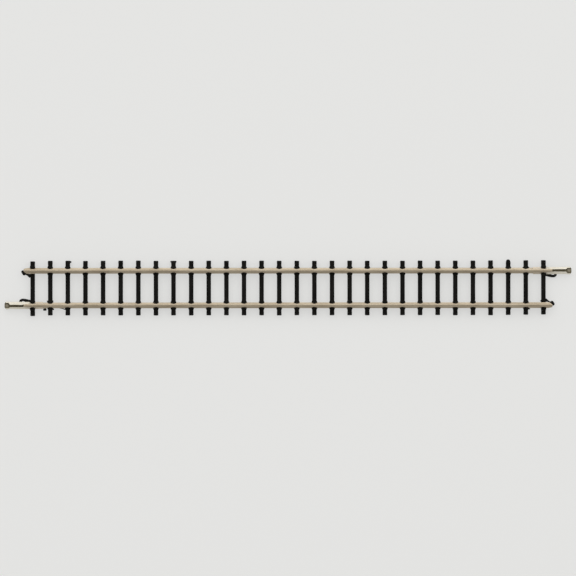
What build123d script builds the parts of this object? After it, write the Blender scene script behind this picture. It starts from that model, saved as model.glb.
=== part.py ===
"""Straight section of miniature railway track.

Two flat-bottomed rails stand in the clips of a moulded ladder of sleepers. A folded
sheet joiner sits half on one rail at each end, and moulded fingers at both ends snap
onto those of the next section. Turning the section end for end gives the same section.

X runs along the track, Y across it and Z up. The origin is on the surface that the
sleepers stand on, under the middle of the track. All sizes are in millimetres.
"""

import os

from build123d import *

# Track and rails
TRACK_LENGTH = 110.0
GAUGE = 6.5  # clear width between the rail heads
RAIL_HEIGHT = 1.5
HEAD_WIDTH = 0.7
HEAD_DEPTH = 0.42  # upright side of the head, with the rounding at its top
HEAD_ROUNDING = 0.1
HEAD_SLOPE = 0.1  # height of the slope from the head in to the web
WEB_WIDTH = 0.3
FOOT_WIDTH = 1.2
FOOT_EDGE = 0.18  # thickness at the foot's edge
FOOT_MIDDLE = 0.3  # thickness where the foot meets the web
INNER_NOTCH = (0.6, 0.38)  # length and depth of the foot's cut corner at a rail end, on the gauge side
OUTER_NOTCH = (0.8, 0.18)  # the same on the outer side

# Sleepers, with the chairs that grip the rail foot
SLEEPER_COUNT = 30
SLEEPER_LENGTH = 11.3
SLEEPER_TOP_LENGTH = 11.1
SLEEPER_WIDTH = 0.9
SLEEPER_HEIGHT = 1.2
SLEEPER_EDGE = 0.05  # chamfer along the top edges
RAIL_SEAT = 1.1  # height of the surface under the rail foot
CHAIR_WIDTH = 1.2
CHAIR_BASE_WIDTH = 0.9
CHAIR_REACH = 0.42  # from the foot's edge outwards
CHAIR_NOSE = 0.22  # from the foot's edge in over the foot
CHAIR_BOTTOM = 0.6
CHAIR_TOP = 1.5
FOOT_FIT = 0.02  # clearance of the foot in its chairs

# Bars under the rails that tie the sleepers together
BAR_WIDTH = 0.8
BAR_BOTTOM = 0.3
BAR_TOP = 1.0
BAR_TOP_UNDER_JOINER = 0.75

# Rail joiner, folded from sheet
JOINER_LENGTH = 8.0
JOINER_ON_RAIL = 4.0
JOINER_SHEET = 0.12
JOINER_SLOT = 0.5  # between the folded lips
JOINER_FIT = 0.025  # clearance to the rail foot
MOUTH_LENGTH = 0.8  # stretch over which the lips open
MOUTH_SLOT = 1.1
MOUTH_LIFT = 0.12
MOUTH_SPREAD = 0.08
TONGUE_LENGTH = 0.35
TONGUE_DROP = 0.1
JOINER_GROOVE_FLOOR = 0.8  # in the end sleepers, below the joiners
JOINER_GROOVE_WIDTH = 1.84
JOINER_GROOVE_TOP = 1.68  # underside of the noses over the joiners

# Chairs of the end sleepers, which also hold a joiner
END_CHAIR_NOSE = 0.42  # from the rail's centre line to the nose's tip
END_CHAIR_REACH = 0.3  # from the groove outwards
END_CHAIR_BOTTOM = 0.95
END_CHAIR_TOP = 1.85

# Moulded fingers at the ends
HOOK_THICKNESS = 0.44
HOOK_BOTTOM = 0.45
HOOK_TOP = 0.8
HOOK_ROOT_RADIUS = 0.24
HOOK_ROOT_GAP = 0.03
HOOK_ROOT_OUTWARD = 0.12  # from the sleeper's face to the axis that the hook bends about
HOOK_ROOT_FROM_RAIL = 0.76  # from the rail's centre line to the same axis
HOOK_WAIST = (0.6, -0.13)  # points from the root: along the track, and towards the rail
HOOK_BOW = (1.38, -0.43)
HOOK_TIP = (1.95, -0.12)
HOOK_TIP_TURN = (0.3, 1.0)  # the direction in which the tip ends
HOOK_TIP_RADIUS = 0.26
CATCH_BOTTOM = 0.12
CATCH_STEM_TOP = 0.4
CATCH_STEM_WIDTH = 0.54
CATCH_ROOT_FROM_RAIL = 1.08
CATCH_STUD_FROM_RAIL = 0.41
CATCH_STUD_PAST_RAIL = 0.08  # beyond the end of the rail
CATCH_STUD_LENGTH = 1.08
CATCH_STUD_WIDTH = 0.58
CATCH_STUD_TURN = -57  # degrees, of its long side from the rail's direction

# Worked out from the above
RAIL_Y = (GAUGE + HEAD_WIDTH) / 2
RAIL_END = TRACK_LENGTH / 2
PITCH = TRACK_LENGTH / SLEEPER_COUNT
HALF_SLEEPER = SLEEPER_WIDTH / 2
END_SLEEPER_X = (SLEEPER_COUNT - 1) / 2 * PITCH
END_FACE_X = END_SLEEPER_X + HALF_SLEEPER
HALF_FOOT = FOOT_WIDTH / 2
HALF_WEB = WEB_WIDTH / 2
HALF_HEAD = HEAD_WIDTH / 2
FOOT_SLOPE = (FOOT_MIDDLE - FOOT_EDGE) / (HALF_FOOT - HALF_WEB)

FRONT, REAR = -1, 1  # the rails at -Y and at +Y
LEFT, RIGHT = -1, 1  # the ends at -X and at +X
SIDE_NAMES = {FRONT: "front", REAR: "rear"}
END_NAMES = {LEFT: "left", RIGHT: "right"}


def joined_rail(end):
    """The rail that carries the joiner at this end: front at the left, rear at the right."""
    return end


def across(x, y, z=0.0):
    """A sketch plane facing along +X, with sketch X across the track and sketch Y upwards."""
    return Plane(origin=(x, y, z), x_dir=(0, 1, 0), z_dir=(1, 0, 0))


def along_end(end, x, y):
    """A sketch plane facing out of one end, with sketch X away from the middle and sketch Y up."""
    return Plane(origin=(end * x, end * y, 0), x_dir=(0, end, 0), z_dir=(end, 0, 0))


def flat(x, y, z, x_dir):
    """A level sketch plane."""
    return Plane(origin=(x, y, z), x_dir=x_dir, z_dir=(0, 0, 1))


def foot_height(distance):
    """Height of the foot's sloping top at a distance from the rail's centre line."""
    return RAIL_SEAT + FOOT_EDGE + (HALF_FOOT - distance) * FOOT_SLOPE


def sleeper_x(number):
    """Middle of a sleeper, numbered from 1 at the left end."""
    return -END_SLEEPER_X + (number - 1) * PITCH


def make_rail(side):
    with BuildPart() as rail:
        with BuildSketch(across(-RAIL_END, side * RAIL_Y, RAIL_SEAT)) as profile:
            with BuildLine():
                Polyline(
                    (0, 0),
                    (HALF_FOOT, 0),
                    (HALF_FOOT, FOOT_EDGE),
                    (HALF_WEB, FOOT_MIDDLE),
                    (HALF_WEB, RAIL_HEIGHT - HEAD_DEPTH - HEAD_SLOPE),
                    (HALF_HEAD, RAIL_HEIGHT - HEAD_DEPTH),
                    (HALF_HEAD, RAIL_HEIGHT),
                    (0, RAIL_HEIGHT),
                )
                mirror(about=Plane.YZ)
            make_face()
            fillet(profile.vertices().group_by(Axis.Y)[-1].sort_by(Axis.X)[0], HEAD_ROUNDING)
            fillet(profile.vertices().group_by(Axis.Y)[-1].sort_by(Axis.X)[-1], HEAD_ROUNDING)
        extrude(amount=TRACK_LENGTH)
        for end in (LEFT, RIGHT):
            for direction, (length, depth) in ((-side, INNER_NOTCH), (side, OUTER_NOTCH)):
                with BuildSketch(flat(end * RAIL_END, side * RAIL_Y, RAIL_SEAT, (1, 0, 0))):
                    with BuildLine():
                        Polyline(
                            (-end * length, direction * HALF_FOOT),
                            (0, direction * (HALF_FOOT - depth)),
                            (0, direction * HALF_FOOT),
                            close=True,
                        )
                    make_face()
                extrude(amount=FOOT_MIDDLE, mode=Mode.SUBTRACT)
    return rail.part


def add_chair(x, rail_y, direction):
    """One moulded clip, on the side of the rail that direction points to; its nose lies over the foot."""
    with BuildSketch(flat(x, rail_y, CHAIR_BOTTOM, (0, direction, 0))) as plan:
        with BuildLine():
            outer = Polyline(
                (HALF_FOOT, -CHAIR_WIDTH / 2),
                (HALF_FOOT + CHAIR_REACH, -CHAIR_BASE_WIDTH / 2),
                (HALF_FOOT + CHAIR_REACH, CHAIR_BASE_WIDTH / 2),
                (HALF_FOOT, CHAIR_WIDTH / 2),
            )
            ThreePointArc(outer @ 1, (HALF_FOOT - CHAIR_NOSE, 0), outer @ 0)
        make_face()
    extrude(plan.sketch, amount=CHAIR_TOP - CHAIR_BOTTOM)


def cut_rail_seat(x, rail_y):
    """Clears the rail foot out of the chairs and the sleeper's top."""
    half_cut = HALF_FOOT + FOOT_FIT
    with BuildSketch(across(x - CHAIR_WIDTH, rail_y)) as seat:
        with BuildLine():
            Polyline(
                (-half_cut, RAIL_SEAT),
                (half_cut, RAIL_SEAT),
                (half_cut, foot_height(half_cut) + 2 * FOOT_FIT),
                (0, foot_height(0) + 2 * FOOT_FIT),
                (-half_cut, foot_height(half_cut) + 2 * FOOT_FIT),
                close=True,
            )
        make_face()
    extrude(seat.sketch, amount=2 * CHAIR_WIDTH, mode=Mode.SUBTRACT)


def add_end_chair(x, rail_y, direction):
    """One clip of an end sleeper, tall enough for a joiner to slide along under its nose."""
    groove_edge = JOINER_GROOVE_WIDTH / 2
    with BuildSketch(flat(x, rail_y, END_CHAIR_BOTTOM, (0, direction, 0))) as plan:
        with BuildLine():
            outer = Polyline(
                (HALF_FOOT, -CHAIR_WIDTH / 2),
                (groove_edge, -CHAIR_WIDTH / 2),
                (groove_edge + END_CHAIR_REACH, -CHAIR_BASE_WIDTH / 2),
                (groove_edge + END_CHAIR_REACH, CHAIR_BASE_WIDTH / 2),
                (groove_edge, CHAIR_WIDTH / 2),
                (HALF_FOOT, CHAIR_WIDTH / 2),
            )
            ThreePointArc(outer @ 1, (END_CHAIR_NOSE, 0), outer @ 0)
        make_face()
    extrude(plan.sketch, amount=END_CHAIR_TOP - END_CHAIR_BOTTOM)


def cut_joiner_groove(x, rail_y):
    """Clears this section's or the next one's joiner out of an end sleeper."""
    with BuildSketch(flat(x, rail_y, JOINER_GROOVE_FLOOR, (1, 0, 0))) as plan:
        Rectangle(2 * CHAIR_WIDTH, JOINER_GROOVE_WIDTH)
    extrude(plan.sketch, amount=JOINER_GROOVE_TOP - JOINER_GROOVE_FLOOR, mode=Mode.SUBTRACT)


def cut_hook_socket(end):
    """The rounded hollow in an end sleeper that the hook's root bends in."""
    with BuildSketch(hook_plane(end, HOOK_BOTTOM - HOOK_ROOT_GAP)) as plan:
        Circle(HOOK_ROOT_RADIUS + HOOK_ROOT_GAP)
    extrude(plan.sketch, amount=HOOK_TOP - HOOK_BOTTOM + 2 * HOOK_ROOT_GAP, mode=Mode.SUBTRACT)


def make_sleeper(number):
    x = sleeper_x(number)
    end = {1: LEFT, SLEEPER_COUNT: RIGHT}.get(number)  # none on the sleepers between
    with BuildPart() as sleeper:
        with BuildSketch(across(x - HALF_SLEEPER, 0)):
            with BuildLine():
                Polyline(
                    (-SLEEPER_LENGTH / 2, 0),
                    (SLEEPER_LENGTH / 2, 0),
                    (SLEEPER_TOP_LENGTH / 2, SLEEPER_HEIGHT),
                    (-SLEEPER_TOP_LENGTH / 2, SLEEPER_HEIGHT),
                    close=True,
                )
            make_face()
        extrude(amount=SLEEPER_WIDTH)
        chamfer(sleeper.edges().group_by(Axis.Z)[-1], SLEEPER_EDGE)
        for direction in (-1, 1):
            for rail in (FRONT, REAR):
                if end is None:
                    add_chair(x, rail * RAIL_Y, direction)
                elif rail == joined_rail(end) or direction == rail:
                    add_end_chair(x, rail * RAIL_Y, direction)
        for rail in (FRONT, REAR):
            if end is None:
                cut_rail_seat(x, rail * RAIL_Y)
            else:
                cut_joiner_groove(x, rail * RAIL_Y)
        if end is not None:
            cut_hook_socket(end)
    return sleeper.part


def make_link_bars(side):
    """The bars under one rail, a separate solid between each two sleepers."""
    with BuildPart() as bars:
        for number in range(1, SLEEPER_COUNT):
            top = BAR_TOP_UNDER_JOINER if number in (1, SLEEPER_COUNT - 1) else BAR_TOP
            middle_x = sleeper_x(number) + PITCH / 2
            with BuildSketch(flat(middle_x, side * RAIL_Y, BAR_BOTTOM, (1, 0, 0))):
                Rectangle(PITCH - SLEEPER_WIDTH, BAR_WIDTH)
            extrude(amount=top - BAR_BOTTOM)
    return bars.part


def joiner_shell(half_width, bottom, slot):
    """Half outlines of the folded joiner at one section: the sheet's outside, its inside, and the slot."""
    inner_half = half_width - JOINER_SHEET
    edge_top = foot_height(HALF_FOOT) + JOINER_FIT
    rise = (inner_half - slot / 2) * FOOT_SLOPE
    outside = [
        (half_width, bottom),
        (half_width, edge_top + JOINER_SHEET),
        (slot / 2, edge_top + rise + JOINER_SHEET),
    ]
    inside = [
        (inner_half, bottom + JOINER_SHEET),
        (inner_half, edge_top),
        (slot / 2, edge_top + rise),
    ]
    return outside, inside


def closed_outline(half_outline, lift=0.0):
    """A symmetrical closed outline from its right half; lift raises every point but the lowest."""
    right = [half_outline[0]] + [(u, v + lift) for u, v in half_outline[1:]]
    left = [(-u, v) for u, v in reversed(right)]
    Polyline(*right, *left, close=True)


JOINER_HALF_WIDTH = HALF_FOOT + JOINER_FIT + JOINER_SHEET
JOINER_BOTTOM = RAIL_SEAT - JOINER_FIT - JOINER_SHEET
JOINER_INNER_X = RAIL_END - JOINER_ON_RAIL
JOINER_OUTER_X = JOINER_INNER_X + JOINER_LENGTH
MOUTH_X = JOINER_OUTER_X - TONGUE_LENGTH - MOUTH_LENGTH
TONGUE_X = JOINER_OUTER_X - TONGUE_LENGTH


def make_joiner(end):
    straight = joiner_shell(JOINER_HALF_WIDTH, JOINER_BOTTOM, JOINER_SLOT)
    spread = joiner_shell(JOINER_HALF_WIDTH + MOUTH_SPREAD, JOINER_BOTTOM, MOUTH_SLOT)
    with BuildPart() as joiner:
        for shell, mode in zip((0, 1), (Mode.ADD, Mode.SUBTRACT)):
            with BuildSketch(along_end(end, JOINER_INNER_X, RAIL_Y)):
                with BuildLine():
                    closed_outline(straight[shell])
                make_face()
            extrude(amount=MOUTH_X - JOINER_INNER_X, mode=mode)
            with BuildSketch(along_end(end, MOUTH_X, RAIL_Y)):
                with BuildLine():
                    closed_outline(straight[shell])
                make_face()
            with BuildSketch(along_end(end, TONGUE_X, RAIL_Y)):
                with BuildLine():
                    closed_outline(spread[shell], MOUTH_LIFT)
                make_face()
            loft(mode=mode)
        with BuildSketch(flat(end * JOINER_INNER_X, end * RAIL_Y, RAIL_SEAT, (end, 0, 0))):
            with BuildLine():
                Polyline(
                    (0, -JOINER_SLOT / 2),
                    (MOUTH_X - JOINER_INNER_X, -JOINER_SLOT / 2),
                    (TONGUE_X - JOINER_INNER_X, -MOUTH_SLOT / 2),
                    (TONGUE_X - JOINER_INNER_X, MOUTH_SLOT / 2),
                    (MOUTH_X - JOINER_INNER_X, JOINER_SLOT / 2),
                    (0, JOINER_SLOT / 2),
                    close=True,
                )
            make_face()
        extrude(amount=RAIL_HEIGHT, mode=Mode.SUBTRACT)
        with BuildSketch(Plane(origin=(0, end * RAIL_Y, 0), x_dir=(end, 0, 0), z_dir=(0, -end, 0))):
            with BuildLine():
                Polyline(
                    (TONGUE_X, JOINER_BOTTOM),
                    (JOINER_OUTER_X, JOINER_BOTTOM - TONGUE_DROP),
                    (JOINER_OUTER_X, JOINER_BOTTOM - TONGUE_DROP + JOINER_SHEET),
                    (TONGUE_X, JOINER_BOTTOM + JOINER_SHEET),
                    close=True,
                )
            make_face()
        extrude(amount=MOUTH_SLOT / 2, both=True)
    return joiner.part


def hook_plane(end, height):
    """A level plane at the axis that a hook bends about, with sketch Y towards the joined rail."""
    root_y = joined_rail(end) * (RAIL_Y - HOOK_ROOT_FROM_RAIL)
    return flat(end * (END_FACE_X + HOOK_ROOT_OUTWARD), root_y, height, (end, 0, 0))


def make_latch_hook(end):
    """A springy hook that bows away from the rail and back to its rounded tip."""
    with BuildPart() as hook:
        with BuildSketch(hook_plane(end, HOOK_BOTTOM)):
            with BuildLine():
                Spline((0, 0), HOOK_WAIST, HOOK_BOW, HOOK_TIP, tangents=((1, 0), HOOK_TIP_TURN))
            trace(line_width=HOOK_THICKNESS)
            Circle(HOOK_ROOT_RADIUS)
            with Locations(HOOK_TIP):
                Circle(HOOK_TIP_RADIUS)
        extrude(amount=HOOK_TOP - HOOK_BOTTOM)
    return hook.part


def make_catch_finger(end):
    """A low stem with an upright stud at its tip, beside the rail that carries no joiner at this end."""
    rail_y = -joined_rail(end) * RAIL_Y
    towards_rail = -joined_rail(end)
    root_y = rail_y - towards_rail * CATCH_ROOT_FROM_RAIL
    stud_y = rail_y - towards_rail * CATCH_STUD_FROM_RAIL
    stud_x = end * (RAIL_END + CATCH_STUD_PAST_RAIL)
    with BuildPart() as finger:
        with BuildSketch(Plane.XY.offset(CATCH_BOTTOM)):
            with BuildLine():
                Polyline(
                    (end * END_FACE_X, root_y - CATCH_STEM_WIDTH / 2),
                    (end * END_FACE_X, root_y + CATCH_STEM_WIDTH / 2),
                    (stud_x, stud_y + CATCH_STEM_WIDTH / 2),
                    (stud_x, stud_y - CATCH_STEM_WIDTH / 2),
                    close=True,
                )
            make_face()
            with Locations((stud_x, stud_y)):
                SlotOverall(CATCH_STUD_LENGTH, CATCH_STUD_WIDTH, rotation=CATCH_STUD_TURN)
        extrude(amount=CATCH_STEM_TOP - CATCH_BOTTOM)
        with BuildSketch(Plane.XY.offset(CATCH_STEM_TOP)):
            with Locations((stud_x, stud_y)):
                SlotOverall(CATCH_STUD_LENGTH, CATCH_STUD_WIDTH, rotation=CATCH_STUD_TURN)
        extrude(amount=HOOK_TOP - CATCH_STEM_TOP)
    return finger.part


def write_piece(part, name):
    part.label = name
    export_step(part, f"parts/{name}.step")


os.makedirs("parts", exist_ok=True)
for number in range(1, SLEEPER_COUNT + 1):
    write_piece(make_sleeper(number), f"sleeper_{number:02d}")
for side in (FRONT, REAR):
    write_piece(make_rail(side), f"rail_{SIDE_NAMES[side]}")
    write_piece(make_link_bars(side), f"link_bars_{SIDE_NAMES[side]}")
for end in (LEFT, RIGHT):
    write_piece(make_joiner(end), f"joiner_{END_NAMES[end]}")
    write_piece(make_latch_hook(end), f"latch_hook_{END_NAMES[end]}")
    write_piece(make_catch_finger(end), f"catch_finger_{END_NAMES[end]}")
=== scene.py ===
"""The looks of the miniature track section, built round its CAD frame.

Lengths are in millimetres until put_piece turns them into metres; materials are in metres.
X runs along the rails, Y across them and Z up. The plastic is slightly fuller than its CAD
solids, because thin dark shapes look thinner against a bright floor.
"""

import math

import bmesh
import bpy
import numpy as np
from mathutils import Matrix


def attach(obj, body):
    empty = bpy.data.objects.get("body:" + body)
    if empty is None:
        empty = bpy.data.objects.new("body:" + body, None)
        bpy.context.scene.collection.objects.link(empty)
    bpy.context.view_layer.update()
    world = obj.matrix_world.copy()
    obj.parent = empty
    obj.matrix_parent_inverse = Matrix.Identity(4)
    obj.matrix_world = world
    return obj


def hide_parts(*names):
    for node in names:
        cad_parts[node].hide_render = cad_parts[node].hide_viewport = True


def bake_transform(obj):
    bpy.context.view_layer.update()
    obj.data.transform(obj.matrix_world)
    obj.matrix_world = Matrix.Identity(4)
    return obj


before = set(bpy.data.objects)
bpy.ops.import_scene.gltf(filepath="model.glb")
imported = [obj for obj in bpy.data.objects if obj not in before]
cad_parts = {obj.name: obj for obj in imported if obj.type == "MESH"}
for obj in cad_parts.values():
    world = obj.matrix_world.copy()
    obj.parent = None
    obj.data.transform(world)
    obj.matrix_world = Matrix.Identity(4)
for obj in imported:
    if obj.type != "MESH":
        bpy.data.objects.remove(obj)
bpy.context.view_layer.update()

MM = 0.001
MERGE = 1e-5  # vertices closer than this become one
LEFT, RIGHT = -1, 1
FRONT, REAR = -1, 1
SIDE_NAMES = {FRONT: "front", REAR: "rear"}
END_NAMES = {LEFT: "left", RIGHT: "right"}

# Track
TRACK_LENGTH = 110.0
SLEEPERS = 30
PITCH = TRACK_LENGTH / SLEEPERS
RAIL_END = TRACK_LENGTH / 2
RAIL_Y = 3.6
SEAT = 1.1  # height of the rail's underside

# Rail
RAIL_HEIGHT = 1.5
FOOT_HALF = 0.6
FOOT_EDGE = 0.18  # thickness at the foot's edge
FOOT_SLOPE = 0.12 / 0.45  # rise of the foot's top from its edge towards the web
WEB_HALF = 0.15
HEAD_HALF = 0.35
CROWN = 0.55  # the head's roundness: height lost per square of the distance from its middle
FOOT_CUTS = ((0.6, 0.42), (0.8, 0.18))  # length and depth at a rail end: gauge side, then outside
HEAD_CUT = 0.5  # length over which the head narrows at a rail end
HEAD_CUT_DEPTHS = (0.3, 0.05)  # on the gauge side and outside
HEAD_CUT_POWERS = (1.2, 1.5)  # how late each cut deepens

# Sleepers
SLEEPER_HALF = 0.45  # half of the width
SLEEPER_TOP = 1.2
SLEEPER_REACH = 5.69  # half of the length
SLEEPER_FULLER = 0.02  # added to half of the width
SLEEPER_END_FULLER = 0.035  # the same at the ends
SLEEPER_CORNER = 0.13
SLEEPER_END_EDGE = 0.06  # rounding of the top edge at the ends
SLEEPER_ROUNDING = 0.05  # rounding of the long top edges
SLEEPER_DRAFT = 0.01  # narrowing of a side from the base to the top
END_LEAN = 0.03  # the same at the ends
END_SLEEPER_X = (SLEEPERS - 1) / 2 * PITCH
END_FACE = END_SLEEPER_X + SLEEPER_HALF
END_SHIFTS = {1: (-0.13, -0.13), 27: (0.0, 0.06), 28: (0.05, 0.0), 29: (0.12, 0.07), 30: (0.11, 0.07)}
POINTED_SLEEPER = 28

# Chairs: nose, back and reach are distances from the rail's middle line to the nose's tip, to
# where the clip starts to narrow, and to its outer end; tail is the height of that end.
CHAIR = {
    "nose": 0.38,
    "back": 0.66,
    "reach": 1.02,
    "half_width": 0.6,
    "bottom": 0.6,
    "top": 1.5,
    "tail": 1.24,
}
END_CHAIR = {
    "nose": 0.42,
    "back": 0.8,
    "reach": 1.22,
    "half_width": 0.56,
    "bottom": 0.95,
    "top": 1.85,
    "tail": 1.5,
}
GROOVE_REACH = 1.4  # half of the length of the cutters for the grooves in a sleeper
FOOT_FIT = 0.02
JOINER_GROOVE_HALF = 0.92
JOINER_GROOVE_HEIGHTS = (0.8, 1.68)

# Link bars
BAR_HALF = 0.4
BAR_BOTTOM = 0.3
BAR_TOP = 1.0
BAR_TOP_UNDER_JOINER = 0.75
BAR_OVERLAP = 0.03  # length of a bar inside each sleeper
BAR_FLARES = ((0, 0.07), (0.06, 0.05), (0.14, 0.015), (0.24, 0))  # distance from an end, swelling
GATE_LINE = [(-50.5, -3.7), (-50.5, -4.1), (-50.5, -4.42)]  # a stub left by the moulding
GATE_BULB = ((-50.98, -4.7, 0.3), (-50.27, -4.22, 0.74))

# Joiners
SHEET = 0.12
JOINER_START = 51.0
MOUTH_START = 57.6
LIPS_END = 58.72
TONGUE_END = 59.0
JOINER_HALF = 0.685  # half of the width; this and the next three are to the middle of the sheet
JOINER_BASE = 1.015
JOINER_LIP_TOP = 1.362
JOINER_BEND = 0.1
SLOT_HALF = 0.235  # half of the slot between the folded lips
MOUTH_SLOT_HALF = 0.55
SLOT_OPENS = (57.8, 58.2)  # stretch over which the slot opens to the mouth's
SIDES_FLARE = (57.7, 58.7)  # stretch over which the sides spread and the lips rise
TONGUE_SINKS = (58.55, TONGUE_END)
CRIMP_X = 51.55
SLOT_SHIFTS = {LEFT: -0.12, RIGHT: 0.03}  # how far each slot was pressed aside

# Snap fingers
HOOK_LOW, HOOK_HIGH = 0.45, 0.8
HOOK_ROOT_FROM_RAIL = 0.76
HOOK_OUTWARD = 0.12  # from the sleeper's face to the hook's root
HOOK_SPINE = [  # from the root: along the track, and towards the rail
    (-0.3, 0.02),
    (0.0, -0.03),
    (0.6, -0.2),
    (1.1, -0.35),
    (1.45, -0.39),
    (1.75, -0.33),
    (1.95, -0.11),
]
HOOK_HALF = 0.27
HOOK_TIP_RADIUS = 0.275
STEM_LOW, STEM_HIGH = 0.12, 0.4
STEM_HALVES = {LEFT: 0.215, RIGHT: 0.14}
STUD_STRAIGHTS = {LEFT: 0.25, RIGHT: 0.19}  # half of the oval's straight stretch
STUD_RADII = {LEFT: 0.325, RIGHT: 0.335}
STUD_TURN = -57
STUD_LEVELS = [  # height, and the outline's size as a share of the full one
    (0.12, 0.9),
    (0.16, 1.0),
    (0.4, 1.0),
    (0.66, 0.985),
    (0.73, 0.95),
    (0.78, 0.85),
    (0.8, 0.7),
]

# Camera
FIELD_WIDTH = 119.875  # what the picture spans, at the rails
FOCUS_HEIGHT = 1.3
CAMERA_ROLL = -0.035  # degrees


# ---------------------------------------------------------------- mesh tools


def smooth_step(x, low, high):
    t = np.clip((np.asarray(x, float) - low) / (high - low), 0, 1)
    return t * t * (3 - 2 * t)


def lattice(a, b, seed):
    """A fixed pseudo-random value from -1 to 1 for each pair of whole numbers."""
    mask = 0x7FFFFFFF
    n = (a * 374761393 + b * 668265263 + seed * 974711) & mask
    n = ((n ^ (n >> 13)) * 1274126177) & mask
    return ((n ^ (n >> 16)) & 0xFFFF) / 32767.5 - 1


def noise(x, y, seed):
    """Smooth noise from -1 to 1 over a plane."""
    xi, yi = np.floor(x).astype(np.int64), np.floor(y).astype(np.int64)
    fx, fy = x - xi, y - yi
    fx, fy = fx * fx * (3 - 2 * fx), fy * fy * (3 - 2 * fy)
    low = lattice(xi, yi, seed) * (1 - fx) + lattice(xi + 1, yi, seed) * fx
    high = lattice(xi, yi + 1, seed) * (1 - fx) + lattice(xi + 1, yi + 1, seed) * fx
    return low * (1 - fy) + high * fy


def oval_arc(centre, radii, start, stop, steps):
    """Points along an ellipse's arc, angles in degrees, both ends included."""
    angles = np.radians(np.linspace(start, stop, steps + 1))
    return [(centre[0] + radii[0] * math.cos(a), centre[1] + radii[1] * math.sin(a)) for a in angles]


def arc(centre, radius, start, stop, steps):
    return oval_arc(centre, (radius, radius), start, stop, steps)


def rounded_outline(half, low, high, upper, lower, lower_steps=4):
    """A rectangle with rounded corners, anticlockwise: upper and lower are the corners' radii."""
    points = arc((half - upper, high - upper), upper, 0, 90, 4)
    points += arc((-half + upper, high - upper), upper, 90, 180, 4)
    points += arc((-half + lower, low + lower), lower, 180, 270, lower_steps)
    return points + arc((half - lower, low + lower), lower, 270, 360, lower_steps)


def curve_through(points, steps):
    """A smooth line through points (Catmull-Rom), as an array."""
    p = np.array([points[0], *points, points[-1]], float)
    line = []
    for k in range(1, len(p) - 2):
        slope = p[k + 1] - p[k - 1]
        bend = 2 * p[k - 1] - 5 * p[k] + 4 * p[k + 1] - p[k + 2]
        twist = 3 * p[k] - p[k - 1] - 3 * p[k + 1] + p[k + 2]
        for t in np.linspace(0, 1, steps, endpoint=False):
            line.append(0.5 * (2 * p[k] + slope * t + bend * t**2 + twist * t**3))
    line.append(p[-2])
    return np.array(line)


def directions(line):
    """The unit direction of a line at each of its points."""
    result = []
    for k in range(len(line)):
        along = line[min(k + 1, len(line) - 1)] - line[max(k - 1, 0)]
        result.append(along / np.linalg.norm(along))
    return result


def loft(rings):
    """A closed skin through rings of equally many points, with a flat cap at both ends."""
    count = len(rings[0])
    verts = [tuple(p) for ring in rings for p in ring]
    faces = []
    for j in range(len(rings) - 1):
        for i in range(count):
            k = (i + 1) % count
            faces.append((j * count + i, j * count + k, (j + 1) * count + k, (j + 1) * count + i))
    faces.append(tuple(reversed(range(count))))
    faces.append(tuple((len(rings) - 1) * count + i for i in range(count)))
    return verts, faces


def slab(upper, lower):
    """A closed skin made of two grids of equally many points, joined all round their rims."""
    rows, columns = len(upper), len(upper[0])
    size = rows * columns
    verts = [p for grid in (upper, lower) for row in grid for p in row]
    faces = []
    for j in range(rows - 1):
        for i in range(columns - 1):
            a = j * columns + i
            b, c, d = a + 1, a + columns + 1, a + columns
            faces.append((a, b, c, d))
            faces.append((a + size, d + size, c + size, b + size))
    rim = list(range(columns))
    rim += [j * columns + columns - 1 for j in range(1, rows)]
    rim += [(rows - 1) * columns + i for i in range(columns - 2, -1, -1)]
    rim += [j * columns for j in range(rows - 2, 0, -1)]
    for a, b in zip(rim, rim[1:] + rim[:1]):
        faces.append((a, a + size, b + size, b))
    return verts, faces


def joined(*shells):
    """Several closed skins as one list of vertices and faces."""
    verts, faces = [], []
    for v, f in shells:
        faces += [tuple(i + len(verts) for i in face) for face in f]
        verts += list(v)
    return verts, faces


def rounded_block(low, high, radius=0.06):
    """A box with rounded corners in plan and a rounded top edge."""
    cx, cy = (low[0] + high[0]) / 2, (low[1] + high[1]) / 2
    levels = (
        (low[2], 0),
        (high[2] - radius, 0),
        (high[2] - 0.3 * radius, 0.3 * radius),
        (high[2], radius),
    )
    rings = []
    for z, inset in levels:
        hx, hy = (high[0] - low[0]) / 2 - inset, (high[1] - low[1]) / 2 - inset
        r = min(radius * 1.4, hx * 0.9, hy * 0.9)
        rings.append([(cx + x, cy + y, z) for x, y in rounded_outline(hx, -hy, hy, r, r)])
    return loft(rings)


def finger_ring(point, along, half, low, high):
    """A section with rounded edges across a moulded finger, at a point of its line in plan."""
    radius = min(0.07, half * 0.7)
    outline = rounded_outline(half, low, high, radius, radius)
    return [(point[0] - along[1] * v, point[1] + along[0] * v, z) for v, z in outline]


def strand(points, half, low, high):
    """A thin moulded thread along points in plan."""
    line = curve_through(points, 6)
    return loft([finger_ring(p, along, half, low, high) for p, along in zip(line, directions(line))])


def mesh_from(name, shell):
    verts, faces = shell
    mesh = bpy.data.meshes.new(name)
    mesh.from_pydata(verts, [], faces)
    bm = bmesh.new()
    bm.from_mesh(mesh)
    bmesh.ops.remove_doubles(bm, verts=bm.verts, dist=MERGE)
    bmesh.ops.recalc_face_normals(bm, faces=bm.faces)
    bm.to_mesh(mesh)
    bm.free()
    return mesh


def combine(base, tool, operation):
    """The exact union or difference of two closed meshes, as a new mesh."""
    target = bpy.data.objects.new("boolean_target", base)
    cutter = bpy.data.objects.new("boolean_tool", tool)
    for o in (target, cutter):
        bpy.context.scene.collection.objects.link(o)
    modifier = target.modifiers.new("combine", "BOOLEAN")
    modifier.object = cutter
    modifier.operation = operation
    modifier.solver = "EXACT"
    result = bpy.data.meshes.new_from_object(target.evaluated_get(bpy.context.evaluated_depsgraph_get()))
    for o in (target, cutter):
        bpy.data.objects.remove(o)
    return result


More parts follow.
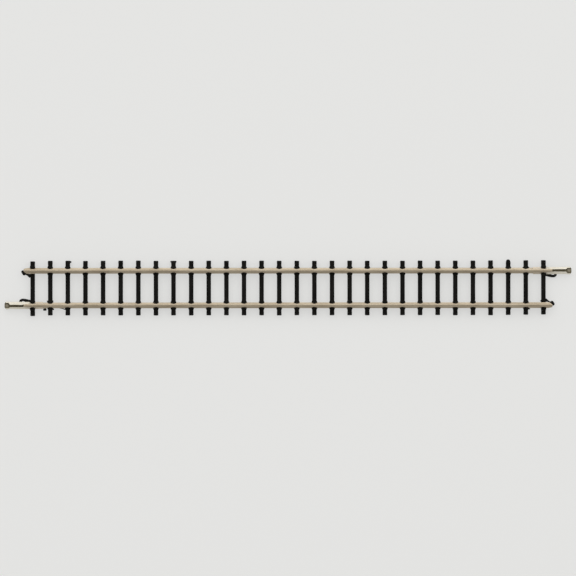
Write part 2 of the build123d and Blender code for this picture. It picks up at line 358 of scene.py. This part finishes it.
def put_piece(name, mesh, material, nodes, body=None, sharp=32):
    """Turns a mesh in millimetres into a shown piece that stands for the CAD nodes.

    Edges sharper than the angle sharp, in degrees, stay sharp.
    """
    bm = bmesh.new()
    bm.from_mesh(mesh)
    bmesh.ops.dissolve_degenerate(bm, edges=bm.edges, dist=MERGE)
    bmesh.ops.triangulate(bm, faces=[f for f in bm.faces if len(f.verts) > 4])
    bmesh.ops.scale(bm, vec=(MM, MM, MM), verts=bm.verts)
    for face in bm.faces:
        face.smooth = True
    bm.to_mesh(mesh)
    bm.free()
    mesh.set_sharp_from_angle(angle=math.radians(sharp))
    mesh.materials.clear()
    mesh.materials.append(material)
    mesh.name = name
    piece = bpy.data.objects.new(name, mesh)
    bpy.context.scene.collection.objects.link(piece)
    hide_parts(*nodes)
    if body is not None:
        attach(piece, body)
    return piece


# ---------------------------------------------------------------- materials


def new_material(name):
    material = bpy.data.materials.new(name)
    material.use_nodes = True
    tree = material.node_tree
    return material, tree, tree.nodes["Principled BSDF"]


def position(tree):
    """The place in the row frame, in metres."""
    return tree.nodes.new("ShaderNodeTexCoord").outputs["Object"]


def one_axis(tree, axis):
    split = tree.nodes.new("ShaderNodeSeparateXYZ")
    tree.links.new(position(tree), split.inputs["Vector"])
    return split.outputs[axis]


def stretched_noise(tree, cells, detail):
    """Noise in the row frame with its own number of cells per metre along X, Y and Z."""
    mapping = tree.nodes.new("ShaderNodeMapping")
    mapping.inputs["Scale"].default_value = cells
    texture = tree.nodes.new("ShaderNodeTexNoise")
    texture.inputs["Scale"].default_value = 1.0
    texture.inputs["Detail"].default_value = detail
    tree.links.new(position(tree), mapping.inputs["Vector"])
    tree.links.new(mapping.outputs["Vector"], texture.inputs["Vector"])
    return texture.outputs["Fac"]


def spread(tree, factor, low, high, from_low=0.3, from_high=0.7):
    """Maps a grey value to a range of numbers."""
    node = tree.nodes.new("ShaderNodeMapRange")
    limits = {"From Min": from_low, "From Max": from_high, "To Min": low, "To Max": high}
    for socket, value in limits.items():
        node.inputs[socket].default_value = value
    tree.links.new(factor, node.inputs["Value"])
    return node.outputs["Result"]


def tint(tree, factor, dark, light):
    """Maps a grey value to a range of colours."""
    ramp = tree.nodes.new("ShaderNodeValToRGB")
    for element, place, colour in zip(ramp.color_ramp.elements, (0.3, 0.7), (dark, light)):
        element.position = place
        element.color = (*colour, 1)
    tree.links.new(factor, ramp.inputs["Fac"])
    return ramp.outputs["Color"]


def mixed(tree, factor, first, second):
    """One colour at factor 0 and the other at 1."""
    node = tree.nodes.new("ShaderNodeMix")
    node.data_type = "RGBA"
    tree.links.new(factor, node.inputs[0])
    for socket, value in ((node.inputs[6], first), (node.inputs[7], second)):
        if isinstance(value, tuple):
            socket.default_value = (*value, 1)
        else:
            tree.links.new(value, socket)
    return node.outputs[2]


def relief(tree, shader, factor, depth, strength):
    """Bumps the surface by a grey value; depth is in metres."""
    bump = tree.nodes.new("ShaderNodeBump")
    bump.inputs["Strength"].default_value = strength
    bump.inputs["Distance"].default_value = depth
    tree.links.new(factor, bump.inputs["Height"])
    tree.links.new(bump.outputs["Normal"], shader.inputs["Normal"])


def make_plastic():
    """Black moulded plastic, with wood grain along the sleepers and a dull sheen."""
    material, tree, shader = new_material("black_moulded_plastic")
    grain = stretched_noise(tree, (14000, 700, 9000), 5.0)
    blotch = stretched_noise(tree, (900, 260, 900), 3.0)
    colour = tint(tree, blotch, (0.0015, 0.0013, 0.0008), (0.0095, 0.0089, 0.007))
    tree.links.new(colour, shader.inputs["Base Color"])
    tree.links.new(spread(tree, grain, 0.48, 0.66), shader.inputs["Roughness"])
    shader.inputs["Specular IOR Level"].default_value = 0.11
    relief(tree, shader, grain, depth=0.00002, strength=0.7)
    return material


def make_rail_metal():
    """Drawn nickel silver: fine lines along the rail, with a thin film of tarnish."""
    material, tree, shader = new_material("drawn_nickel_silver")
    lines = stretched_noise(tree, (160, 26000, 26000), 3.0)
    patches = stretched_noise(tree, (210, 900, 900), 4.0)
    colour = tint(tree, patches, (0.44, 0.362, 0.255), (0.605, 0.517, 0.387))
    tree.links.new(colour, shader.inputs["Base Color"])
    tree.links.new(spread(tree, lines, 0.3, 0.45), shader.inputs["Roughness"])
    shader.inputs["Metallic"].default_value = 1.0
    relief(tree, shader, lines, depth=0.000006, strength=0.5)
    return material


def past_rail_end(tree):
    """Goes from 0 on the rail to 1 where a joiner stands free of it."""
    distance = tree.nodes.new("ShaderNodeMath")
    distance.operation = "ABSOLUTE"
    tree.links.new(one_axis(tree, "X"), distance.inputs[0])
    return spread(tree, distance.outputs["Value"], 0.0, 1.0, (RAIL_END - 2.5) * MM, (RAIL_END - 0.5) * MM)


def above_slot(tree):
    """Goes from 0 inside a joiner's fold, where the shade is painted, to 1 outside it, by height."""
    return spread(tree, one_axis(tree, "Z"), 0.0, 1.0, 1.12 * MM, 1.28 * MM)


def vector_math(tree, operation, first, second=None):
    node = tree.nodes.new("ShaderNodeVectorMath")
    node.operation = operation
    tree.links.new(first, node.inputs[0])
    if second is not None:
        node.inputs[1].default_value = second
    return node.outputs["Value" if operation == "DISTANCE" else "Vector"]


def mouth_light_pool(tree):
    """The mask of a painted pool of light: 1 at the middle of a joiner's tongue, falling to 0 at its
    edges.
    """
    folded = vector_math(tree, "ABSOLUTE", position(tree))
    flat = vector_math(tree, "MULTIPLY", folded, (1, 1, 0))
    away = vector_math(tree, "DISTANCE", flat, (58.5 * MM, 3.63 * MM, 0))
    return spread(tree, away, 1.0, 0.0, 0.12 * MM, 0.46 * MM)


def make_joiner_metal():
    """Pressed nickel silver sheet: satin and pale outside, yellower on the rail, with painted shade in
    the fold and a painted pool of light on the tongue where the mouth opens.
    """
    material, tree, shader = new_material("pressed_nickel_silver")
    lines = stretched_noise(tree, (900, 9000, 9000), 4.0)
    patches = stretched_noise(tree, (1100, 1100, 1100), 4.0)
    pale = tint(tree, patches, (0.78, 0.725, 0.595), (0.9, 0.855, 0.745))
    worn = tint(tree, patches, (0.7, 0.6, 0.46), (0.84, 0.755, 0.62))
    outside = mixed(tree, past_rail_end(tree), worn, pale)
    # Painted shade in the fold, dark olive, lightened by a painted pool of light in the middle of the
    # tongue.
    inside = mixed(tree, mouth_light_pool(tree), (0.13, 0.11, 0.06), (0.34, 0.3, 0.23))
    # Painted shade: below the lips' height the sheet takes the dark fold colour instead of the metal's
    # own colour.
    colour = mixed(tree, above_slot(tree), inside, outside)
    tree.links.new(colour, shader.inputs["Base Color"])
    tree.links.new(spread(tree, lines, 0.38, 0.52), shader.inputs["Roughness"])
    shader.inputs["Metallic"].default_value = 0.45
    relief(tree, shader, lines, depth=0.000008, strength=0.4)
    return material


PLASTIC = make_plastic()
RAIL_METAL = make_rail_metal()
JOINER_METAL = make_joiner_metal()


# ---------------------------------------------------------------- sleepers


def sleeper_ring(y, half_width, top, end_slope):
    """One section of a sleeper: flat base, drafted sides, rounded top edges, a finely divided top."""
    radius = SLEEPER_ROUNDING
    inner = half_width - SLEEPER_DRAFT - radius
    points = [(x, 0.0) for x in np.linspace(-half_width, half_width, 5)]
    for z in np.linspace(0, top - radius, 5)[1:]:
        points.append((half_width - SLEEPER_DRAFT * z / top, z))
    points += arc((inner, top - radius), radius, 0, 90, 3)[1:]
    points += [(x, top) for x in np.linspace(inner, -inner, 17)[1:-1]]
    points += arc((-inner, top - radius), radius, 90, 180, 3)
    for z in np.linspace(top - radius, 0, 5)[1:-1]:
        points.append((-half_width + SLEEPER_DRAFT * z / top, z))
    return [(x, y - math.copysign(end_slope * z / SLEEPER_TOP, y), z) for x, z in points]


def sleeper_body():
    """A sleeper without chairs: rings along it, and rings round its vertical end corners."""
    rings = []
    for y in np.linspace(SLEEPER_CORNER - SLEEPER_REACH, SLEEPER_REACH - SLEEPER_CORNER, 75):
        lean = END_LEAN * float(smooth_step(abs(y), SLEEPER_REACH - 1.0, SLEEPER_REACH))
        near_end = float(smooth_step(abs(y), 4.7, 5.2))
        fuller = SLEEPER_FULLER + (SLEEPER_END_FULLER - SLEEPER_FULLER) * near_end
        rings.append(sleeper_ring(y, SLEEPER_HALF + fuller, SLEEPER_TOP, lean))
    for angle in np.radians((15, 32, 50, 68, 85)):
        y = SLEEPER_REACH - SLEEPER_CORNER * (1 - math.sin(angle))
        half_width = SLEEPER_HALF + SLEEPER_END_FULLER - SLEEPER_CORNER * (1 - math.cos(angle))
        top = SLEEPER_TOP - SLEEPER_END_EDGE * (1 - math.cos(angle))
        rings.append(sleeper_ring(y, half_width, top, END_LEAN))
        rings.insert(0, sleeper_ring(-y, half_width, top, END_LEAN))
    return loft(rings)


def clip(rail_y, direction, nose, back, reach, half_width, bottom, top, tail):
    """One moulded clip: its nose lies over the rail foot, and its back slopes down outwards."""
    nose_drop, side_drop = 0.08, 0.09  # how far the edges of its top are rounded down
    side_start = 0.72  # where the rounding towards a side starts, as a share of the half width
    rows = []
    for step in np.linspace(0, 1, 7):
        rows.append((half_width, step, 0.0))
    for step in np.linspace(0, 1, 6)[1:]:
        rows.append((half_width + (SLEEPER_HALF - half_width) * step, 1.0, step))
    tops = []
    for half, to_back, to_end in rows:
        line = []
        for t in np.sin(np.linspace(-math.pi / 2, math.pi / 2, 15)):
            front = nose + (FOOT_HALF - nose) * t * t
            u = front + (back - front) * to_back + (reach - back) * to_end
            height = top - nose_drop * (1 - float(smooth_step(u - front, 0, 0.12)))
            height -= (top - tail) * float(smooth_step(u, back - 0.08, reach + 0.04))
            over = max(0.0, (abs(t) - side_start) / (1 - side_start))
            height -= side_drop * (1 - math.sqrt(max(0.0, 1 - over * over)))
            line.append((half * t, rail_y + direction * u, height))
        tops.append(line)
    base = [[(0.96 * x, y, bottom) for x, y, _ in line] for line in tops]
    return slab(tops, base)


def tunnel(rail_y, section):
    """A cutter along one rail, through the whole width of a sleeper at X 0."""
    return loft([[(x, rail_y + v, z) for v, z in section] for x in (-GROOVE_REACH, GROOVE_REACH)])


def foot_groove(rail_y):
    """The space that the rail foot takes in the chairs and the sleeper."""
    half = FOOT_HALF + FOOT_FIT
    edge = SEAT + FOOT_EDGE + FOOT_FIT
    ridge = edge + half * FOOT_SLOPE
    return tunnel(rail_y, [(-half, SEAT), (half, SEAT), (half, edge), (0, ridge), (-half, edge)])


def joiner_groove(rail_y):
    """The space for a joiner in an end sleeper, under the noses of its chairs."""
    half = JOINER_GROOVE_HALF
    low, high = JOINER_GROOVE_HEIGHTS
    return tunnel(rail_y, [(-half, low), (half, low), (half, high), (-half, high)])


def sleeper_template(chairs, grooves):
    body = combine(mesh_from("body", sleeper_body()), mesh_from("chairs", joined(*chairs)), "UNION")
    return combine(body, mesh_from("grooves", joined(*grooves)), "DIFFERENCE")


def plain_template():
    """A sleeper with its four chairs, at X 0."""
    sides = (FRONT, REAR)
    chairs = [clip(side * RAIL_Y, direction, **CHAIR) for side in sides for direction in (-1, 1)]
    return sleeper_template(chairs, [foot_groove(side * RAIL_Y) for side in sides])


def end_template(end):
    """An end sleeper: a groove for a joiner at both rails, and taller chairs over it."""
    places = ((end, -1), (end, 1), (-end, -end))
    chairs = [clip(side * RAIL_Y, direction, **END_CHAIR) for side, direction in places]
    return sleeper_template(chairs, [joiner_groove(side * RAIL_Y) for side in (FRONT, REAR)])


def lumps_on(number):
    """Small moulding lumps on a few of the sleepers, at X 0, as closed skins."""
    if number == 2:
        return [
            rounded_block((-0.68, -2.9, 0.7), (-0.36, -2.6, 1.36)),
            rounded_block((0.36, -2.9, 0.7), (0.66, -2.56, 1.36)),
            rounded_block((0.2, -4.56, 0.6), (0.8, -4.26, 1.3), 0.12),
        ]
    if number == 3:
        thread = [(-1.75, -4.14), (-1.2, -4.22), (-0.7, -4.4), (-0.35, -4.46)]
        return [
            rounded_block((0.3, 5.24, 0.1), (0.76, 5.62, 1.12), 0.12),
            strand(thread, half=0.09, low=0.7, high=0.95),
        ]
    if number == 9:
        return [rounded_block((-0.64, 5.3, 0.1), (0.64, 5.68, 1.12), 0.12)]
    if number == 29:
        return [
            rounded_block((0.2, -4.5, 0.6), (0.88, -4.2, 1.3), 0.12),
            rounded_block((-0.7, 4.1, 0.6), (0.72, 4.36, 1.3), 0.1),
        ]
    if number == 30:
        return [rounded_block((-0.66, -2.9, 0.5), (0.8, -2.5, 1.25), 0.16)]
    return []


def weather(mesh, number):
    """Gives one sleeper its own grain, length and slight unevenness."""
    co = np.zeros(len(mesh.vertices) * 3)
    mesh.vertices.foreach_get("co", co)
    co = co.reshape(-1, 3)
    x, y, z = co[:, 0].copy(), co[:, 1].copy(), co[:, 2].copy()
    clear_of_chairs = smooth_step(np.abs(np.abs(y) - RAIL_Y), 1.02, 1.25)
    on_top = smooth_step(z, 1.0, 1.15) * clear_of_chairs
    on_side = smooth_step(np.abs(x), 0.36, 0.42) * clear_of_chairs * smooth_step(z, 0.02, 0.3)
    near_end = smooth_step(np.abs(y), 4.7, 5.6)

    coarse = 0.012 * noise(x * 7 + 40, y * 0.55, number)
    fine = 0.009 * noise(x * 13, y * 1.2 + 9, number + 50)
    co[:, 2] += on_top * (coarse + fine - 0.004)
    co[:, 0] += on_side * np.sign(x) * 0.008 * noise(z * 5, y * 0.9, number + 90)

    longer = 0.02 * lattice(number, 1, 3) + 0.02 * lattice(number, 2, 5) * np.sign(y)
    rough = 0.02 * noise(x * 4, z * 3, number + 130)
    co[:, 1] += near_end * np.sign(y) * (longer + rough)
    front, rear = END_SHIFTS.get(number, (0.0, 0.0))
    co[:, 1] += near_end * np.where(y > 0, rear, front)
    if number == POINTED_SLEEPER:
        point = smooth_step(y, 5.3, 5.66)
        co[:, 1] += point * 0.26 * (1 - (x / 0.55) ** 2)
        co[:, 0] *= 1 - 0.16 * point
    mesh.vertices.foreach_set("co", co.ravel())
    mesh.update()


def make_sleepers():
    plain = plain_template()
    ends = {1: end_template(LEFT), SLEEPERS: end_template(RIGHT)}
    for number in range(1, SLEEPERS + 1):
        mesh = ends.get(number, plain).copy()
        lumps = lumps_on(number)
        if lumps:
            mesh = combine(mesh, mesh_from("lumps", joined(*lumps)), "UNION")
        weather(mesh, number)
        play = 0.012 * float(lattice(number, 4, 7))
        mesh.transform(Matrix.Translation(((number - 1) * PITCH - END_SLEEPER_X + play, 0, 0)))
        node = f"sleeper_{number:02d}"
        put_piece(node + "_moulding", mesh, PLASTIC, [node], "track")


def link_bar(rail_y, start, stop, top):
    """One bar, with a small fillet where it meets a sleeper at either end."""
    rings = []
    for distance, flare in BAR_FLARES:
        outline = rounded_outline(BAR_HALF + flare, BAR_BOTTOM - flare, top + 0.4 * flare, 0.07, 0.05, 3)
        for x in (start + distance, stop - distance):
            rings.append([(x, rail_y + v, z) for v, z in outline])
    rings.sort(key=lambda ring: ring[0][0])
    return loft(rings)


def make_link_bars(side):
    bars = []
    for number in range(1, SLEEPERS):
        start = (number - 1) * PITCH - END_SLEEPER_X + SLEEPER_HALF - BAR_OVERLAP
        stop = start + PITCH - 2 * SLEEPER_HALF + 2 * BAR_OVERLAP
        top = BAR_TOP_UNDER_JOINER if number in (1, SLEEPERS - 1) else BAR_TOP
        bars.append(link_bar(side * RAIL_Y, start, stop, top))
    node = f"link_bars_{SIDE_NAMES[side]}"
    mesh = mesh_from(node, joined(*bars))
    if side == FRONT:
        stub = strand(GATE_LINE, half=0.18, low=0.34, high=0.7)
        bulb = rounded_block(*GATE_BULB, 0.14)
        gate = combine(mesh_from("stub", stub), mesh_from("bulb", bulb), "UNION")
        mesh = combine(mesh, gate, "UNION")
    put_piece(node + "_moulding", mesh, PLASTIC, [node], "track")


# ---------------------------------------------------------------- rails


def foot_top(v):
    """Height of the foot's top over the rail's underside, at v from the rail's middle."""
    return FOOT_EDGE + (FOOT_HALF - v) * FOOT_SLOPE


def rail_half(foot_half, head_half, shrink):
    """Half of the rail's section from the middle of its base to the middle of its crown."""
    edge = foot_top(foot_half)
    points = [(0.0, 0.0), (foot_half * 0.5, 0.0), (foot_half - 0.06, 0.0)]
    points += arc((foot_half - 0.03, 0.03), 0.03, 270, 360, 3)
    points += arc((foot_half - 0.045, edge - 0.045), 0.045, 0, 76, 4)
    points += [(v, foot_top(v)) for v in np.linspace(foot_half - 0.05, 0.215, 3)]
    points += oval_arc((WEB_HALF + 0.085, 0.46), (0.085, 0.16), 246, 180, 3)
    points += [(WEB_HALF, 0.7)]
    points += oval_arc((WEB_HALF + 0.07, 0.9), (0.07, 0.105), 180, 90, 3)
    points += [(head_half - 0.06, 1.045)]
    points += arc((head_half - 0.035, 1.085), 0.035, 300, 360, 3)
    points += [(head_half, 1.2), (head_half, 1.31)]
    points += arc((head_half - 0.14, 1.325), 0.14, 0, 62, 6)
    narrowed = head_half / HEAD_HALF
    points += [(v * narrowed, RAIL_HEIGHT - CROWN * v * v) for v in (0.24, 0.2, 0.15, 0.1, 0.05, 0.0)]
    middle = RAIL_HEIGHT / 2
    return [(max(0.0, v - shrink), middle + (w - middle) * (1 - shrink / middle)) for v, w in points]


def rail_section(x, side, shrink=0.0):
    """The whole section round at x from the track's middle, cut back near the rail's end."""
    halves = []
    for (length, depth), head_depth, power in zip(FOOT_CUTS, HEAD_CUT_DEPTHS, HEAD_CUT_POWERS):
        foot_cut = float(np.clip((x - RAIL_END + length) / length, 0, 1))
        head_cut = float(np.clip((x - RAIL_END + HEAD_CUT) / HEAD_CUT, 0, 1)) ** power
        halves.append(rail_half(FOOT_HALF - depth * foot_cut, HEAD_HALF - head_depth * head_cut, shrink))
    inner, outer = halves
    plus, minus = (outer, inner) if side > 0 else (inner, outer)
    outline = plus + [(-v, w) for v, w in reversed(minus[1:-1])]
    return [(side * RAIL_Y + v, SEAT + w) for v, w in outline]


def make_rail(side):
    """A rail, with the corners of its foot and head cut back at both ends."""
    cuts_start = RAIL_END - 0.8
    stations = [*np.linspace(0, cuts_start, 24), *np.linspace(cuts_start, RAIL_END - 0.04, 14)[1:]]
    places = [(x, 0.0) for x in stations]
    places += [(RAIL_END - 0.012, 0.01), (RAIL_END, 0.03)]  # the last two rings round the end's edges
    rings = []
    for x, shrink in places:
        section = rail_section(x, side, shrink)
        rings.append([(x, *p) for p in section])
        if x > 0:
            rings.insert(0, [(-x, *p) for p in section])
    node = f"rail_{SIDE_NAMES[side]}"
    put_piece(node + "_drawn", mesh_from(node, loft(rings)), RAIL_METAL, [node], "track", 40)


# ---------------------------------------------------------------- joiners


def joiner_line(half, lift, slot_half):
    """Middle line of the folded sheet from the base's middle to the lip, with its outward normals."""
    bend = JOINER_BEND
    lip_top = JOINER_LIP_TOP + lift
    tilt = math.atan(FOOT_SLOPE)
    line, normals = [], []
    for v in np.linspace(0, half - bend, 9)[:-1]:
        line.append((v, JOINER_BASE))
        normals.append((0, -1))
    for a in np.radians(np.linspace(-90, 0, 7)):
        line.append((half - bend + bend * math.cos(a), JOINER_BASE + bend + bend * math.sin(a)))
        normals.append((math.cos(a), math.sin(a)))
    for w in np.linspace(JOINER_BASE + bend, lip_top - bend, 4)[1:-1]:
        line.append((half, w))
        normals.append((1, 0))
    for a in np.linspace(0, math.pi / 2 - tilt, 7):
        line.append((half - bend + bend * math.cos(a), lip_top - bend + bend * math.sin(a)))
        normals.append((math.cos(a), math.sin(a)))
    bent = line[-1]
    for t in np.linspace(0, 1, 9)[1:]:
        v = bent[0] + (slot_half - bent[0]) * t
        line.append((v, bent[1] + (bent[0] - v) * math.tan(tilt)))
        normals.append((math.sin(tilt), math.cos(tilt)))
    return line, normals


def joiner_point(end, station, column):
    """A point of the sheet's middle layer: x, v across the rail, w up, the normal, the lip's shift.

    station is the x of the base; each column of points has its own end, so that the lips stop
    short of the tongue.
    """
    x = station
    if station > MOUTH_START:
        column_end = TONGUE_END - (TONGUE_END - LIPS_END) * float(smooth_step(column, 4, 10))
        share = (station - MOUTH_START) / (TONGUE_END - MOUTH_START)
        x = MOUTH_START + share * (column_end - MOUTH_START)
    opening = float(smooth_step(x, *SLOT_OPENS))
    flare = float(smooth_step(x, *SIDES_FLARE))
    crimp = 0.022 * math.exp(-(((x - CRIMP_X) / 0.28) ** 2))
    half = JOINER_HALF + 0.07 * flare - crimp
    wave = 0.012 * math.sin(x * 1.9) * (1 - opening)
    slot_half = SLOT_HALF + (MOUTH_SLOT_HALF - SLOT_HALF) * opening + wave
    slot_half += 0.06 * float(smooth_step(-x, -JOINER_START - 0.25, -JOINER_START))
    line, normals = joiner_line(half, 0.1 * flare, slot_half)
    v, w = line[column]
    shift = 0.0
    if w > 1.3:
        closeness = float(np.clip((half - v) / (half - slot_half), 0, 1))
        past_rail = float(smooth_step(x, RAIL_END, RAIL_END + 0.3))
        shift = SLOT_SHIFTS[end] * closeness * (1 - opening) * past_rail
    w -= 0.09 * float(smooth_step(x, *TONGUE_SINKS)) * float(smooth_step(-w, -1.15, -1.02))
    return x, v, w, normals[column], shift


def make_joiner(end):
    """The folded sheet, with lips that open at the mouth and a tongue in front of them."""
    stations = [*np.linspace(JOINER_START, MOUTH_START, 45)]
    stations += [*np.linspace(MOUTH_START, TONGUE_END, 28)[1:]]
    columns = len(joiner_line(JOINER_HALF, 0.0, SLOT_HALF)[0])
    sheets = {1: [], -1: []}
    for station in stations:
        rows = {1: ([], []), -1: ([], [])}
        for column in range(columns):
            x, v, w, (nv, nw), shift = joiner_point(end, station, column)
            for layer, sides in rows.items():
                across = v + layer * nv * SHEET / 2
                height = w + layer * nw * SHEET / 2
                for side, mirror in zip(sides, (1, -1)):
                    side.append((end * x, end * (RAIL_Y + mirror * across + end * shift), height))
        for layer, (right, left) in rows.items():
            sheets[layer].append(left[:0:-1] + right)
    node = f"joiner_{END_NAMES[end]}"
    shell = mesh_from(node, slab(sheets[1], sheets[-1]))
    put_piece(node + "_sheet", shell, JOINER_METAL, [node], node, 50)


# ---------------------------------------------------------------- snap fingers


def make_latch_hook(end):
    """The springy hook: an S-shaped finger with a rounded tip, rooted in the end sleeper."""
    line = curve_through(HOOK_SPINE, 9)
    heading = directions(line)
    rings = []
    for k, point in enumerate(line):
        share = k / (len(line) - 1)
        near_root = 1 - float(smooth_step(share, 0.15, 0.65))
        near_tip = float(smooth_step(share, 0.8, 0.97))
        half = HOOK_HALF + 0.1 * near_root + 0.015 * near_tip
        rings.append(finger_ring(point, heading[k], half, HOOK_LOW, HOOK_HIGH))
    for angle in np.radians((30, 55, 75, 88)):
        point = line[-1] + heading[-1] * HOOK_TIP_RADIUS * math.sin(angle)
        half = HOOK_TIP_RADIUS * math.cos(angle)
        rings.append(finger_ring(point, heading[-1], half, HOOK_LOW, HOOK_HIGH))
    root_x = END_FACE + HOOK_OUTWARD
    root_y = RAIL_Y - HOOK_ROOT_FROM_RAIL
    placed = [[(end * (root_x + x), end * (root_y + y), z) for x, y, z in ring] for ring in rings]
    node = f"latch_hook_{END_NAMES[end]}"
    piece = put_piece(node + "_finger", mesh_from(node, loft(placed)), PLASTIC, [node])
    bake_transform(piece)


def make_catch_finger(end):
    """A low stem out of the end sleeper with an upright oval stud at its tip."""
    rail_y = -end * RAIL_Y
    root = np.array([end * (END_FACE - 0.06), rail_y + end * 1.1])
    stud = np.array([end * (RAIL_END + 0.08), rail_y + end * 0.41])
    along = (stud - root) / np.linalg.norm(stud - root)
    rings = []
    for t in np.linspace(0, 1, 16):
        half = STEM_HALVES[end] + 0.2 * (1 - float(smooth_step(t, 0.02, 0.5)))
        rings.append(finger_ring(root + (stud - root) * t, along, half, STEM_LOW, STEM_HIGH))
    stem = loft(rings)
    straight, radius = STUD_STRAIGHTS[end], STUD_RADII[end]
    outline = arc((straight, 0), radius, -90, 90, 16) + arc((-straight, 0), radius, 90, 270, 16)
    c, s = math.cos(math.radians(STUD_TURN)), math.sin(math.radians(STUD_TURN))
    turned = [(u * c - v * s, u * s + v * c) for u, v in outline]
    post = loft([[(stud[0] + k * x, stud[1] + k * y, z) for x, y in turned] for z, k in STUD_LEVELS])
    node = f"catch_finger_{END_NAMES[end]}"
    mesh = combine(mesh_from("stem", stem), mesh_from("post", post), "UNION")
    put_piece(node + "_stud", mesh, PLASTIC, [node], "track")


# ---------------------------------------------------------------- stage, light, camera


def make_floor():
    """A plain pale floor, a gridded mesh under the object; size is in metres."""
    size, cells = 3.0, 12
    steps = [size * (i / cells - 0.5) for i in range(cells + 1)]
    verts = [(x, y, 0.0) for y in steps for x in steps]
    faces = []
    for j in range(cells):
        for i in range(cells):
            a = j * (cells + 1) + i
            faces.append((a, a + 1, a + cells + 2, a + cells + 1))
    mesh = bpy.data.meshes.new("studio_floor")
    mesh.from_pydata(verts, [], faces)
    material, _, shader = new_material("pale_floor")
    shader.inputs["Base Color"].default_value = (0.27, 0.27, 0.264, 1)
    shader.inputs["Roughness"].default_value = 0.9
    shader.inputs["Specular IOR Level"].default_value = 0.1
    shader.inputs["Emission Color"].default_value = (1.0, 1.0, 0.985, 1)
    shader.inputs["Emission Strength"].default_value = 0.565
    mesh.materials.append(material)
    floor = bpy.data.objects.new("studio_floor", mesh)
    bpy.context.scene.collection.objects.link(floor)


def make_light(name, place, size, power):
    """An area light that looks at the middle of the track; place and size are in metres."""
    data = bpy.data.lights.new(name, "AREA")
    data.shape = "RECTANGLE"
    data.size, data.size_y = size
    data.energy = power
    light = bpy.data.objects.new(name, data)
    light.location = place
    light.rotation_mode = "QUATERNION"
    light.rotation_quaternion = (-light.location).to_track_quat("-Z", "Y")
    bpy.context.scene.collection.objects.link(light)


def make_studio():
    world = bpy.data.worlds.new("studio")
    world.use_nodes = True
    background = world.node_tree.nodes["Background"]
    background.inputs["Color"].default_value = (1, 1, 1, 1)
    background.inputs["Strength"].default_value = 0.42
    bpy.context.scene.world = world
    make_light("key_from_rear", (0.0, 0.6, 0.7), (1.6, 0.9), 4.4)
    make_light("fill_from_front", (0.0, -0.8, 0.3), (1.6, 0.4), 0.5)
    make_light("fill_from_left", (-0.8, 0.2, 0.5), (0.5, 1.0), 1.0)
    make_light("fill_from_right", (0.8, 0.2, 0.5), (0.5, 1.0), 1.0)


def make_camera():
    """Straight above the track, through a long lens."""
    data = bpy.data.cameras.new("photo_camera")
    data.sensor_width = 36.0
    data.lens = 600.0
    data.clip_start = 0.01
    data.clip_end = 20.0
    camera = bpy.data.objects.new("photo_camera", data)
    field = FIELD_WIDTH * MM
    camera.location = (0, 0, field * data.lens / data.sensor_width + FOCUS_HEIGHT * MM)
    camera.rotation_euler = (0, 0, math.radians(CAMERA_ROLL))
    bpy.context.scene.collection.objects.link(camera)
    bpy.context.scene.camera = camera


make_sleepers()
for side in (FRONT, REAR):
    make_link_bars(side)
    make_rail(side)
for end in (LEFT, RIGHT):
    make_joiner(end)
    make_latch_hook(end)
    make_catch_finger(end)
make_floor()
make_studio()
make_camera()
bpy.context.scene.view_settings.view_transform = "Standard"
